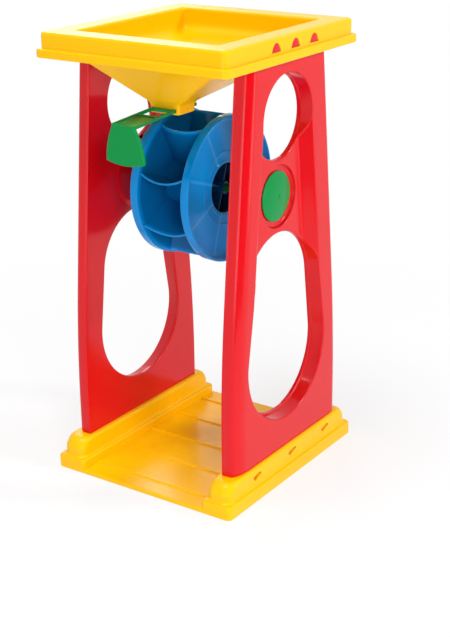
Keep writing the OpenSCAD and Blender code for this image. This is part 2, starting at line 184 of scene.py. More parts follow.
def rounded_path(corners, fillet, closed=False, steps=6):
    """Path through 2-D corners, each softened by a parabola that starts and ends a fillet's length from the
    corner. An open path keeps its two end points."""
    corners = np.asarray(corners, float)
    before, after = np.roll(corners, 1, 0), np.roll(corners, -1, 0)
    if not closed:
        before, after, inner = before[1:-1], after[1:-1], corners[1:-1]
    else:
        inner = corners
    fillet = np.broadcast_to(np.asarray(fillet, float), len(inner))[:, None]
    u, v = before - inner, after - inner
    u, v = (w / np.linalg.norm(w, axis=1, keepdims=True) * fillet for w in (u, v))
    t = np.linspace(0, 1, steps)[None, :, None]
    soft = inner[:, None] + (1 - t) ** 2 * u[:, None] + t ** 2 * v[:, None]
    soft = soft.reshape(-1, 2)
    return soft if closed else np.concatenate([corners[:1], soft, corners[-1:]])


def rounded_loops(half_x, half_y, r, z, mid_y=0.0, steps=7):
    """Plan outlines, one for each height: rectangles with quarter-circle corners, anticlockwise from the
    right front."""
    sizes = (half_x, half_y, r, z, mid_y)
    half_x, half_y, r, z, mid_y = (np.broadcast_to(v, np.shape(z))[:, None, None] for v in sizes)
    a = np.radians(np.linspace(-90, 0, steps)[None, :] + np.array([0, 90, 180, 270])[:, None])[None]
    sx, sy = np.array([1, 1, -1, -1])[None, :, None], np.array([-1, 1, 1, -1])[None, :, None]
    x, y = sx * (half_x - r) + r * np.cos(a), mid_y + sy * (half_y - r) + r * np.sin(a)
    return np.stack([x, y, z + 0 * x], -1).reshape(len(z), -1, 3)


def carried(outline, levels):
    """Outline in depth and height, carried along the axle: one row of points at each level."""
    y, z, x = outline[None, :, 0], outline[None, :, 1], np.asarray(levels, float)[:, None]
    return np.stack([x + 0 * y, y + 0 * x, z + 0 * x], -1)


def pierced(y, z, gap, cell):
    """Grid of points with holes in it. gap(y, z) is the distance outside the holes' edges: points close to an
    edge slide on to it down the distance's slope, cells inside are dropped, and the inner corners of the rest
    are drawn to the edge."""
    close, clear, least_slope = 0.35 * cell, 0.02 * cell, 0.2

    def on_edge(y, z, chosen):
        d, e = gap(y, z), 0.01
        gy, gz = (gap(y + e, z) - gap(y - e, z)) / (2 * e), (gap(y, z + e) - gap(y, z - e)) / (2 * e)
        step = np.where(chosen, d / np.maximum(gy * gy + gz * gz, least_slope), 0)
        return y - step * gy, z - step * gz

    near = np.abs(gap(y, z)) < close
    for _ in range(2):
        y, z = on_edge(y, z, near)
    outside = gap(y, z) > clear
    kept = outside[:-1, :-1] | outside[1:, :-1] | outside[:-1, 1:] | outside[1:, 1:]
    used = np.zeros_like(outside)
    first, last = slice(0, -1), slice(1, None)
    for rows, cols in ((first, first), (last, first), (first, last), (last, last)):
        used[rows, cols] |= kept
    for _ in range(3):
        y, z = on_edge(y, z, used & ~outside)
    return y, z, kept


def pierced_sheet(points, kept, flip=False):
    """Shell over the kept cells of a grid of points, with the points that no cell uses taken out."""
    flat, (cells,) = sheet(points, flip=flip)
    cells = cells[kept.ravel()]
    used, cells = np.unique(cells, return_inverse=True)
    return flat[used], [cells.reshape(-1, 4)]


yellow = plastic("yellow_moulding", paint(255, 196, 0), gloss=0.28, shine=0.2)
rail_mid_x, rail_half_x, rail_half_y, rail_top = 91.15, 13.25, 113.9, 33.0
rail_end_r, rail_edge_r, dome_from = 12.0, 3.5, 17.5
ledge_out, ledge_h, ledge_soft = 4, 13.8, [2.4, 2.6]
plan_r, plan_r_least, plan_r_most = 9, 5, 11
tab_y, window_z, window_step, window_depth, window_soft = 3.8, 24.0, 65.5, 3.2, 0.7
panel_half_y = 84
window_y = tab_y + window_step * np.array([-1, 0, 1])
wedge = np.array([[-8.3, 0.2], [-4.0, -4.1], [9.0, 1.5], [2.8, 3.1]])


def wedge_gap(y, z):
    """Distance outside the nearest wedge window: the largest distance beyond the wedge's four sides."""
    side = np.roll(wedge, -1, 0) - wedge
    out = np.stack([side[:, 1], -side[:, 0]], -1) / np.linalg.norm(side, axis=1, keepdims=True)
    middles = np.stack([window_y, 0 * window_y], -1)[:, None, :]
    p = np.stack([y, z - window_z], -1)[..., None, None, :] - middles
    return np.einsum("...wsk,sk->...ws", p - wedge, out).max(-1).min(-1)


def rail(side):
    """Rail on one side of the base: plan outlines stacked up the ledge, the wall and the domed top, whose
    ends and long edges fall away by quarter circles; a straight panel of the outer wall is pierced by
    wedges."""
    path = rounded_path([[ledge_out, 0.0], [ledge_out, ledge_h], [0, ledge_h], [0, dome_from]], ledge_soft)
    turn = np.radians([0, 14, 28, 45.1, 55, 65, 75, 83, 90])
    z = np.concatenate([path[:, 1], rail_top - rail_end_r + rail_end_r * np.sin(turn)])
    past_edge = np.maximum(z - rail_top + rail_edge_r, 0)
    inset_x = rail_edge_r - np.sqrt(np.maximum(rail_edge_r ** 2 - past_edge ** 2, 0))
    half_x = rail_half_x - inset_x + np.concatenate([path[:, 0], 0 * turn])
    half_y = rail_half_y + np.concatenate([path[:, 0], rail_end_r * np.cos(turn) - rail_end_r])
    r = np.clip(plan_r - (half_y - rail_half_y), plan_r_least, plan_r_most)
    loops = rounded_loops(half_x, half_y, np.minimum(r, half_x - 1), z)
    outer_col = 7
    span = loops[:, outer_col - 1:outer_col + 1].copy()
    span[:, :, 1] = [-panel_half_y, panel_half_y]
    loops = np.concatenate([loops[:, :outer_col], span, loops[:, outer_col:]], 1)
    low, high = len(path) - 1, len(path) + 3
    points, (cells, foot, top) = sheet(loops, wrap=True, caps=True)
    row, col = np.divmod(np.arange(len(cells)), loops.shape[1])
    wall = cells[~((col == outer_col) & (row >= low) & (row < high))]
    y, up = np.meshgrid(np.linspace(-panel_half_y, panel_half_y, 169), np.linspace(z[low], z[high], 13))
    y, up, kept = pierced(y, up, wedge_gap, cell=1.0)
    panel = pierced_sheet(np.stack([rail_half_x + 0 * y, y, up], -1), kept)
    edge, levels = rounded_path(wedge, window_soft, closed=True), [rail_half_x, rail_half_x - window_depth]
    pits = [sheet(carried(edge + [y_mid, window_z], levels), wrap=True) for y_mid in window_y]
    shells = [(points, [wall, foot, top]), panel] + pits
    return to_side([(p + [rail_mid_x, 0, 0], blocks) for p, blocks in shells], side)


even_shading(build("base_rails", rail(1) + rail(-1), yellow, "stand", ["base"], closed=False))

floor_half_x, floor_half_y, floor_top = 78.5, 117.9, 4.0
rib_count, rib_top, rib_half, rib_reach = 5, 5.6, 2.5, 0.8
rib_y = floor_half_y * np.linspace(-rib_reach, rib_reach, rib_count)
rib_z = np.broadcast_to([floor_top, rib_top, rib_top, floor_top], (rib_count, 4))
ribs = np.stack([rib_y[:, None] + rib_half * np.array([-1, -1, 1, 1]), rib_z], -1).reshape(-1, 2)
section = np.concatenate([[[-floor_half_y, 0], [-floor_half_y, floor_top]], ribs,
                          [[floor_half_y, floor_top], [floor_half_y, 0]]])
end_soft, rib_soft = [0.3, 1.5], [0.9, 0.7, 0.7, 0.9]
section_soft = np.concatenate([end_soft, np.tile(rib_soft, rib_count), end_soft[::-1]])
section = rounded_path(section, section_soft, closed=True)
floor_plate = sheet(carried(section, np.linspace(-floor_half_x, floor_half_x, 9)), wrap=True, caps=True)
even_shading(build("base_floor", [floor_plate], yellow, "stand", ["base"]))


# The two side frames are red mouldings, each a hollow outer shell closed by a flat cover on the wheel's side.
# They stand in the rails and carry the hopper, and the axle runs in a bearing boss on each cover.
red = plastic("red_moulding", paint(218, 8, 22), gloss=0.15, shine=0.33)
face_x, seam_x, inner_x, web_x, collar_x = 100.5, 85.2, 83.4, 89.4, 87.2
foot_z, top_z, axle_z = 33.0, 446.0, 293.4
upright_z, upright_half, foot_arc_r = 59.6, 94.4, 1402.6
knee_z, knee_half, neck_z, neck_half = 195, 87.85, 426.5, 65.3
upper_z, upper_r = 371.0, 41.0
lower_z, lower_r, arch_z, arch_r = 135.0, 66.0, 198.5, 58.0
lip_thin, lip_growth = 3.0, 3.0
crest_out, recess_lean, recess_soft = 1.4, 10.5, 2.2
boss_r, pocket_r, pocket_soft = 34.0, 31.0, 1.0
seam_deep, seam_wide = 0.35, 0.3


def half_depth(z):
    """Half depth of a frame at height z: upright foot, a long arc up to the knee, then a straight taper."""
    rise = np.clip(z - upright_z, 0, knee_z - upright_z)
    arc = upright_half - foot_arc_r + np.sqrt(foot_arc_r ** 2 - rise ** 2)
    return np.where(z > knee_z, knee_half - (z - knee_z) * (knee_half - neck_half) / (neck_z - knee_z), arc)


def pear_gap(y, z, low_z, low_r, high_z, high_r):
    """Distance outside the hull of two circles, one above the other: from the lower circle, the upper one or
    the straight sides between them."""
    y, up = np.abs(y), z - low_z
    lean = (low_r - high_r) / (high_z - low_z)
    upright = np.sqrt(1 - lean ** 2)
    along = upright * up - lean * y
    return np.where(along < 0, np.hypot(y, up) - low_r,
                    np.where(along > upright * (high_z - low_z), np.hypot(y, z - high_z) - high_r,
                             upright * y + lean * up - low_r))


def opening_gap(y, z):
    """Distance outside the nearer opening: the upper circle or the lower pear."""
    return np.minimum(np.hypot(y, z - upper_z) - upper_r, pear_gap(y, z, lower_z, lower_r, arch_z, arch_r))


def lip_width(z):
    """Width of an opening's soft lip at each height: thin, growing down round the lower opening's bowl."""
    return lip_thin + lip_growth * np.clip((arch_z - z) / (arch_z - lower_z), 0, 1)


def crest_half(z):
    """Half depth of the recess between the openings at its crest, on a straight line past both openings."""
    return arch_r + crest_out + (z - arch_z) * (upper_r - arch_r) / (upper_z - arch_z)


def ramp(d, width, soft):
    """Rise from 0 to 1 over a width, with parabolic ends of half length soft."""
    knee = [np.where(t < soft, np.maximum(t + soft, 0) ** 2 / (4 * soft), t) for t in (d, d - width)]
    return (knee[0] - knee[1]) / width


def outer_level(y, z):
    """Level of the outer face along the axle: flat, and sunk to the web down leaning walls inside a pear that
    goes round the upper opening and the lower one's arch."""
    inside = -pear_gap(y, z, arch_z, arch_r + crest_out, upper_z, upper_r + crest_out)
    return face_x - (face_x - web_x) * ramp(inside, recess_lean, recess_soft)


def edge_profile(z, size):
    """Outer edge at each height: inset from the edge and drop below the face, along a bevel with two
    parabolic corners; it grows from a crisp bevel under the hopper to a long soft round at the foot, and
    size scales all of it."""
    crisp_z, round_z = 430, 40
    low = np.clip((crisp_z - z) / (crisp_z - round_z), 0, 1)[:, None]
    wide, deep = 9.0 + 4.0 * low, 4.4 + 0.2 * low
    slant = np.hypot(wide, deep)
    soft, wall_soft = slant * (0.26 + 0.22 * low), 3.4 + 1.2 * low
    t = np.linspace(0, 1, 7)[None, :]
    to_x, to_y = deep / slant, wide / slant
    first = np.stack([wide + soft * ((1 - t) ** 2 - t ** 2 * to_y), soft * t ** 2 * to_x], -1)
    second_y, second_x = wall_soft * (1 - t) ** 2 * to_y, deep + wall_soft * (t ** 2 - (1 - t) ** 2 * to_x)
    return size * np.concatenate([first, np.stack([second_y, second_x], -1)], 1)


def opening_paths():
    """Edges of both openings, anticlockwise seen from outside, with the direction away from the opening at
    each point: the upper circle, and two arcs joined by tangents for the lower one."""
    upper_n, arch_n, side_n, bowl_n = 144, 80, 30, 96
    a = np.linspace(0, 2 * np.pi, upper_n, endpoint=False)
    away = np.stack([np.cos(a), np.sin(a)], -1)
    yield away * upper_r + [0, upper_z], away
    lean = np.arcsin((lower_r - arch_r) / (arch_z - lower_z))
    on_left, on_right = np.pi - lean, 2 * np.pi + lean
    arch, bowl = np.linspace(lean, on_left, arch_n), np.linspace(on_left, on_right, bowl_n)
    side, t = np.ones(side_n), np.linspace(0, 1, side_n + 2)[1:-1, None]
    a = np.concatenate([arch, side * on_left, bowl, side * on_right])
    away = np.stack([np.cos(a), np.sin(a)], -1)
    left, right, round_bowl = away[arch_n], away[-1], away[arch_n + side_n:-side_n]
    low, high = np.array([0, lower_z]), np.array([0, arch_z])
    edge = np.concatenate([away[:arch_n] * arch_r + high,
                           (1 - t) * (left * arch_r + high) + t * (left * lower_r + low),
                           round_bowl * lower_r + low,
                           (1 - t) * (right * lower_r + low) + t * (right * arch_r + high)])
    yield edge, away


def turned(path, turns=96):
    """Surface turned about the axle: a path of radius and place along the axle, carried round in equal
    steps."""
    a = np.linspace(0, 2 * np.pi, turns, endpoint=False)[None, :]
    r, x = path[:, 0][:, None], path[:, 1][:, None]
    return np.stack([x + 0 * a, r * np.cos(a), axle_z + r * np.sin(a)], -1)


def opening_rim(edge, away):
    """Rim of one opening, swept round it: over the soft lip, down the leaning collar and the straight wall,
    and into the seam."""
    lean_rate, crest_left, least_rise, soft_share = 0.053, 0.8, 0.4, 0.8
    hem_up, hem_run, wall_low_x = 0.6, 0.9, 87
    t = np.linspace(0, 1, 8)[:, None]
    crest = lip_width(edge[:, 1])[None]
    lip = outer_level(*(edge + away * crest.T).T)[None]
    rise = np.maximum(lip - collar_x, least_rise)
    lean = np.minimum(lean_rate * crest * rise, crest - crest_left)
    soft = np.minimum(crest - lean, soft_share * rise)
    wall = 0 * lip
    over, down = lean + (crest - lean) * (1 - t) ** 2, 0.5 * lean * (1 - t) ** 2 + wall
    inset = [over, down, wall, wall, wall + seam_wide]
    drop = [soft * t ** 2, rise - hem_up + t * (2 - t) * hem_run,
            lip - wall_low_x, lip - seam_x - seam_deep, lip - seam_x]
    rim = edge[None] + away[None] * np.concatenate(inset)[..., None]
    return sheet(np.stack([lip - np.concatenate(drop), rim[..., 0], rim[..., 1]], -1), wrap=True)


def frame_shell(side):
    """Outer shell: rows of equal height cross the front wall, the soft front edge, the outer face with its
    sunk web and the back edge and wall; openings and the cap's pocket are pierced, and their rims swept
    round."""
    foot_round, foot_tuck, front_size, back_size = 1.2, 0.7, 1.0, 0.3
    pocket_lean, pocket_floor_r = 0.6, 22
    band_out, band_in, wall_x = 2.6, 13.2, np.array([seam_x, seam_x + seam_deep, 87.5, 90.0])
    z = np.concatenate([[foot_z, foot_z + 0.5], np.linspace(foot_z + foot_round, top_z, 276)])
    tuck = foot_tuck * np.clip(1 - (z - foot_z) / foot_round, 0, 1)[:, None] ** 2
    half, crest = half_depth(z)[:, None] - tuck, crest_half(np.maximum(z, arch_z))[:, None]
    halves, levels = [], []
    for size in (front_size, back_size):
        edge = edge_profile(z, size)
        wall = np.concatenate([half - seam_wide, half, half, half, half - edge[:, ::-1, 0]], 1)
        flat = half - edge[:, :1, 0] - crest - band_out
        outer = crest + band_out + flat * np.linspace(1, 0, 13)[None, 1:]
        slope = crest - np.linspace(-band_out, band_in, 31)[None, 1:]
        middle = (crest - band_in) * np.linspace(1, 0, 33)[None, 1:]
        halves.append(np.concatenate([wall, outer, slope, middle], 1))
        levels.append(np.concatenate([wall_x[None] + 0 * half, face_x - edge[:, ::-1, 1] - tuck], 1))
    y, n = np.concatenate([-halves[0], halves[1][:, -2::-1]], 1), levels[0].shape[1]

    def gap(y, z):
        return np.minimum(opening_gap(y, z) - lip_width(z), np.hypot(y, z - axle_z) - pocket_r - pocket_soft)

    y, up, kept = pierced(y, z[:, None] + 0 * y, gap, cell=1.3)
    x = outer_level(y, up)
    x[:, :n], x[:, -n:] = levels[0], levels[1][:, ::-1]
    pocket = rounded_path([[pocket_r + pocket_soft, web_x], [pocket_r, web_x],
                           [pocket_r - pocket_lean, seam_x], [pocket_floor_r, seam_x]], [0.9, 2.4])
    shells = [pierced_sheet(np.stack([x, y, up], -1), kept)]
    shells += [opening_rim(edge, away) for edge, away in opening_paths()]
    return to_side(shells + [sheet(turned(pocket), wrap=True)], side)


def frame_cover(side):
    """Flat cover: a plate with softened edges, pierced by the openings, with a turned bearing boss in the
    middle."""
    soft, boss_soft, boss_h, boss_lean, bearing_r = 0.9, 1.2, 2, 3.0, 4.05
    z = np.linspace(foot_z, top_z, 140)
    half, t = half_depth(z)[:, None], np.linspace(0, np.pi / 2, 5)
    flat = (half - soft) * np.linspace(1, 0, 30)[None]
    half_row = np.concatenate([half - seam_wide, half, half - soft + soft * np.cos(t)[None], flat[:, 1:]], 1)
    y = np.concatenate([-half_row, half_row[:, -2::-1]], 1)

    def gap(y, z):
        return np.minimum(opening_gap(y, z) - soft, np.hypot(y, z - axle_z) - boss_r - boss_soft)

    y, up, kept = pierced(y, z[:, None] + 0 * y, gap, cell=3.0)
    x = np.full_like(y, inner_x)
    edge_x = np.concatenate([[seam_x, seam_x - seam_deep], inner_x + soft - soft * np.sin(t)])
    n = len(edge_x)
    x[:, :n], x[:, -n:] = edge_x, edge_x[::-1]
    shells = [pierced_sheet(np.stack([x, y, up], -1), kept, flip=True)]
    inset = np.concatenate([soft - soft * np.sin(t), [0, seam_wide]])[:, None, None]
    level = np.concatenate([inner_x + soft - soft * np.cos(t), [seam_x - seam_deep, seam_x]])[:, None]
    for edge, away in opening_paths():
        rim = edge[None] + away[None] * inset
        rim = np.stack([level + 0 * rim[..., 0], rim[..., 0], rim[..., 1]], -1)
        shells.append(sheet(rim, wrap=True, flip=True))
    boss_x = inner_x - boss_h
    boss = rounded_path([[boss_r + boss_soft, inner_x], [boss_r, inner_x], [boss_r - boss_lean, boss_x],
                         [bearing_r, boss_x], [bearing_r, seam_x]], [1.1, 2.2, 0.5])
    return to_side(shells + [sheet(turned(boss), wrap=True, flip=True)], side)


def slab(outline, low, high, soft):
    """Flat piece with rounded edges: an outline shrunk along its own normals by a quarter circle at each
    face, carried from the low to the high level."""
    ahead, behind = np.roll(outline, -1, 0) - outline, outline - np.roll(outline, 1, 0)
    ahead, behind = (v / np.linalg.norm(v, axis=1, keepdims=True) for v in (ahead, behind))
    normal = np.stack([ahead[:, 1] + behind[:, 1], -ahead[:, 0] - behind[:, 0]], -1)
    normal /= np.maximum((normal ** 2).sum(1, keepdims=True) / 2, 0.5)
    t = np.linspace(0, np.pi / 2, 5)
    inset = soft * (1 - np.concatenate([np.sin(t), np.sin(t[::-1])]))
    level = np.concatenate([low + soft * (1 - np.cos(t)), high - soft * (1 - np.cos(t[::-1]))])
    rim = outline[None] - normal[None] * inset[:, None, None]
    return np.concatenate([rim, np.broadcast_to(level[:, None, None], rim.shape[:2] + (1,))], -1)


top_tabs = 33.0 * np.array([-1, 0, 1])
arch_power = 2.4
nib_w, nib_h, nib_low_z = 15, 8, 437.0
nib_root_x, top_nib_x, foot_nib_x, foot_nib_share = 99.5, 104.8, 102.2, 0.92


def arch_outline(width, height, low):
    """Pointed arch in depth and height: a curve that falls with a power of the distance from its middle, on a
    straight sill."""
    t = np.linspace(1, -1, 25)
    return np.stack([t * width / 2, low + height * (1 - np.abs(t) ** arch_power)], -1)


def snap_nibs(side):
    """Snap nibs of a frame: arched ones under the hopper's rim, wedge-shaped ones in the base rail."""
    top = slab(arch_outline(nib_w, nib_h, nib_low_z), nib_root_x, top_nib_x, soft=0.6)
    foot_edge = rounded_path(wedge * foot_nib_share, 0.8, closed=True) + [0, window_z]
    foot = slab(foot_edge, nib_root_x, foot_nib_x, soft=0.5)
    rows = ((top, tab_y + top_tabs), (foot, window_y))
    nibs = [nib[..., [2, 0, 1]] + [0, y, 0] for nib, places in rows for y in places]
    return to_side([sheet(nib, wrap=True, caps=True) for nib in nibs], side)


for side, word in ((-1, "left"), (1, "right")):
    shell, cover = f"{word}_frame_shell", f"{word}_frame_cover"
    even_shading(build(f"frame_{word}_shell", frame_shell(side), red, "stand", [shell], closed=False))
    even_shading(build(f"frame_{word}_cover", frame_cover(side), red, "stand", [cover], closed=False))
    build(f"frame_{word}_nibs", snap_nibs(side), red, "stand", [shell])


# The wheel is moulded in see-through blue: two rimmed discs on a hollow core, with eight bowed scoop
# paddles between them and four spokes to a bush in the open hub. The right disc is a second moulding
# pressed on to the core.
disc_r, rim_x, plate_x, paddle_x = 73.0, 34.5, 27.5, 25.5
rim_flat, rim_lean, ring_h = 2.2, 3.0, 0.8
ring_r, ring_in_r, hub_ring_r = 37.4, 36, 28.4
hub_r, core_r, bush_r, pin_r = 24.5, 27.0, 6.5, 4.0
paddles, spokes, first_paddle = 8, 4, 18.5


def clear_plastic(name, colour, painted_shade_between, middle, painted_highlight, gloss):
    """See-through moulded plastic: a Principled shader with part of its light let through, and the moulding
    skin. Its colour is painted darker between the discs short of their rims, and darkest in the hub: painted
    shade for the wheel's dim inside. The paddles' ends are painted on both discs as pale lines, a painted
    highlight where they show through: the distance aside from the nearest of n paddles is about the radius
    times the sine of n/2 angles, divided by n/2."""
    mm, let_through, ior, painted_highlight_share = 0.001, 0.12, 1.45, 0.3
    within, beyond = paddle_x + 0.3, paddle_x + 1.3
    disc_inner_r, disc_end_r, line_end_r = 66.0, 71.5, 69.0
    line_full, line_none, hub_soft = 0.4, 2.2, 1.5
    made = plastic(name, colour, gloss, shine=0.2, tint=0.1)
    nodes, link = made.node_tree.nodes, made.node_tree.links.new
    shader, marks = nodes["Principled BSDF"], nodes["Group"]
    shader.inputs["Transmission Weight"].default_value, shader.inputs["IOR"].default_value = let_through, ior
    axes = nodes.new("ShaderNodeSeparateXYZ")
    link(nodes.new("ShaderNodeTexCoord").outputs["Object"], axes.inputs[0])

    def maths(kind, a, b=0.0):
        node = nodes.new("ShaderNodeMath")
        node.operation = kind
        for value, socket in ((a, node.inputs[0]), (b, node.inputs[1])):
            if isinstance(value, float):
                socket.default_value = value
            else:
                link(value, socket)
        return node.outputs[0]

    def fall(source, full, none):
        node = nodes.new("ShaderNodeMapRange")
        node.interpolation_type = "SMOOTHSTEP"
        link(source, node.inputs["Value"])
        start, end = none * mm, full * mm
        for key, value in (("From Min", start), ("From Max", end), ("To Min", 0), ("To Max", 1)):
            node.inputs[key].default_value = value
        return node.outputs["Result"]

    def blend(share, a, b):
        node = nodes.new("ShaderNodeMix")
        node.data_type = "RGBA"
        link(share, node.inputs["Factor"])
        node.inputs["B"].default_value = b
        if isinstance(a, tuple):
            node.inputs["A"].default_value = a
        else:
            link(a, node.inputs["A"])
        return node.outputs["Result"]

    along, deep = maths("ABSOLUTE", axes.outputs["X"]), axes.outputs["Y"]
    up = maths("SUBTRACT", axes.outputs["Z"], axle_z * mm)
    out = maths("SQRT", maths("ADD", maths("MULTIPLY", up, up), maths("MULTIPLY", deep, deep)))
    # Painted shade: the colour turns darker between the discs, short of their rims.
    inner = maths("MULTIPLY", fall(along, within, beyond), fall(out, disc_inner_r, disc_end_r))
    angle = maths("SUBTRACT", maths("ARCTAN2", up, maths("MULTIPLY", deep, -1.0)), np.radians(first_paddle))
    beat = maths("ABSOLUTE", maths("SINE", maths("MULTIPLY", angle, paddles / 2)))
    aside = maths("MULTIPLY", maths("MULTIPLY", beat, out), 2 / paddles)
    # Painted highlight: pale lines on the discs along the paddles' ends, where these show through.
    on_disc = maths("MULTIPLY", fall(along, beyond, within), fall(out, disc_inner_r, line_end_r))
    painted_highlight_lines = maths("MULTIPLY", maths("MULTIPLY", fall(aside, line_full, line_none), on_disc), painted_highlight_share)
    wall = blend(painted_highlight_lines, blend(inner, colour, painted_shade_between), painted_highlight)
    # Painted shade: the colour is darkest in the hub.
    link(blend(fall(out, hub_r, hub_r + hub_soft), wall, middle), marks.inputs["Colour"])
    return made


# The two darker colours paint shade on the wheel's dim inside; the pale one paints highlight lines on the
# discs.
blue = clear_plastic("blue_clear_moulding", colour=paint(4, 146, 226), painted_shade_between=paint(4, 108, 172),
                     middle=paint(8, 60, 106), painted_highlight=paint(104, 186, 240), gloss=0.12)
ring_x = plate_x + ring_h
disc = rounded_path([[disc_r, rim_x], [disc_r - rim_flat, rim_x], [disc_r - rim_flat - rim_lean, plate_x],
                     [ring_r, plate_x], [ring_r, ring_x], [ring_in_r, ring_x], [ring_in_r, plate_x],
                     [hub_ring_r, plate_x], [hub_ring_r, ring_x], [hub_r, ring_x], [hub_r, paddle_x],
                     [disc_r, paddle_x]],
                    [0.9, 0.9, 2.4, 0.3, 0.35, 0.35, 0.3, 0.3, 0.35, 0.6, 0.4, 0.5], closed=True)
core_end_x = -paddle_x - 1
core = rounded_path([[core_r, paddle_x], [hub_r, paddle_x], [hub_r, core_end_x], [core_r, core_end_x]], 0.4,
                    closed=True)
bush = rounded_path([[bush_r, plate_x], [pin_r, plate_x], [pin_r, -plate_x], [bush_r, -plate_x]], 0.5,
                    closed=True)
disc, core, bush = (np.concatenate([path, path[:1]]) for path in (disc, core, bush))
build("wheel_right_disc", [sheet(turned(disc, 144), wrap=True)], blue, "wheel", ["wheel_disc"])
left_disc = sheet(turned(disc * [1, -1], 144), wrap=True, flip=True)
build("wheel_left_disc", [left_disc, sheet(turned(core), wrap=True), sheet(turned(bush, 48), wrap=True)],
      blue, "wheel", ["wheel_drum"])


def blades(count, start, end, reach, bow):
    """Sheets that stand out from the axle at equal angles: across the wheel each one bows by an arc of a
    circle."""
    a = np.radians(first_paddle + 360 * np.arange(count) / count)[:, None, None]
    r, x = np.linspace(start, end, 15)[None, :, None], np.linspace(-reach[0], reach[1], 29)[None, None, :]
    curve = (paddle_x ** 2 + bow ** 2) / (2 * bow)
    sag = curve - bow - np.sqrt(curve ** 2 - np.minimum(np.abs(x), paddle_x) ** 2)
    y, up = sag * np.sin(a) - r * np.cos(a), sag * np.cos(a) + r * np.sin(a)
    points = np.stack([x + 0 * y, y, axle_z + up], -1)
    return [sheet(p) for p in points]


scoop_walls = blades(paddles, start=25.6, end=71.2, reach=(26, 25.3), bow=7.0)
spoke_walls = blades(spokes, start=5.6, end=25.2, reach=(26, 24.2), bow=0.02)
scoops = build("wheel_paddles", scoop_walls + spoke_walls, blue, "wheel", ["wheel_drum"],
               closed=False)
walls = scoops.modifiers.new("paddle_wall", "SOLIDIFY")
walls.thickness, walls.offset = 0.002, 0
lips = scoops.modifiers.new("paddle_lip", "BEVEL")
lips.width, lips.segments, lips.limit_method = 0.0006, 3, "ANGLE"


# The axle is a green pin through both bearing bosses. A shallow green dome is pressed on each of its ends, in
# the round pocket of each frame, with the mark of the moulding gate in its middle.
green = plastic("green_moulding", paint(0, 142, 66), gloss=0.12, shine=0.15)
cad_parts["axle"].data.materials.clear()
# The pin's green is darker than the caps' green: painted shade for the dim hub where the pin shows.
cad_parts["axle"].data.materials.append(plastic("green_pin_painted_shade", paint(0, 96, 50), gloss=0.2, shine=0.15))
cap_r, cap_low, cap_edge, cap_rise, cap_wall = 24.8, 86.0, 0.9, 2.6, 1
dome_edge_r, mark_r, mark_deep = cap_r - 0.8, 2.8, 0.8
dome_r = (cap_r ** 2 + cap_rise ** 2) / (2 * cap_rise)
arc = np.linspace(dome_edge_r, mark_r, 16)
dome = np.stack([arc, cap_low + cap_edge + cap_rise - dome_r + np.sqrt(dome_r ** 2 - arc ** 2)], -1)
crown = dome[-1, 1]
cap_side = rounded_path([[cap_r - cap_wall, cap_low], [cap_r, cap_low], [cap_r, cap_low + cap_edge], dome[0]],
                        [0.3, 0.5])
mark = [[2.4, crown - 0.1], [2.0, crown - 0.5], [1.4, crown - mark_deep], [0, crown - mark_deep]]
cap = np.concatenate([cap_side, dome[1:], mark, [[0, cap_low], [cap_r - cap_wall, cap_low]]])
for side, word in ((-1, "left"), (1, "right")):
    dome_cap = sheet(turned(cap * [1, side]), wrap=True)
    build(f"axle_cap_{word}", [dome_cap], green, "wheel", [f"{word}_axle_cap"])


# The hopper is a yellow tray with a deep skirt and a flange, moulded in one with a slanted funnel and its
# spout. It drops over the tops of both frames, whose nibs snap into pointed windows in the skirt.
skirt_x, skirt_y, skirt_wall, skirt_stretch = 105.2, 110.8, 2.5, 1.025
flange_z, flange_h, flange_out, rim_z, rim_w, rim_under_z = 426.5, 8, 4.2, 450.0, 24.2, 447.4
mouth_x, mouth_y, funnel_wall, spout_y = 81, 86, 2.25, -46.2
bowl_top_z, bowl_foot_z, spout_in_z, spout_out_z, spout_low_z = 438, 428.5, 386, 384, 375
spout_in_x, spout_in_y, spout_out_x, spout_out_y = 12.5, 10.65, 17, 13.15
tray_r, mouth_r, spout_r = 5, 4, 2.5
skirt_window_w, skirt_window_h, sill_z = 16.2, 8.6, 436.7
panel_low_z, panel_high_z, panel_mark = 435.2, 446.7, 0.05


def skirt_gap(y, z):
    """Distance outside the nearest pointed window of the skirt, taken as the rise above its arch, or the fall
    below its sill."""
    half = skirt_window_w / 2
    share = np.abs((y - tab_y)[..., None] - top_tabs).min(-1) / half
    slope = arch_power * skirt_window_h / half * share ** (arch_power - 1)
    over = (z - sill_z - skirt_window_h * (1 - share ** arch_power)) / np.sqrt(1 + slope ** 2)
    return np.maximum(over, sill_z - z)


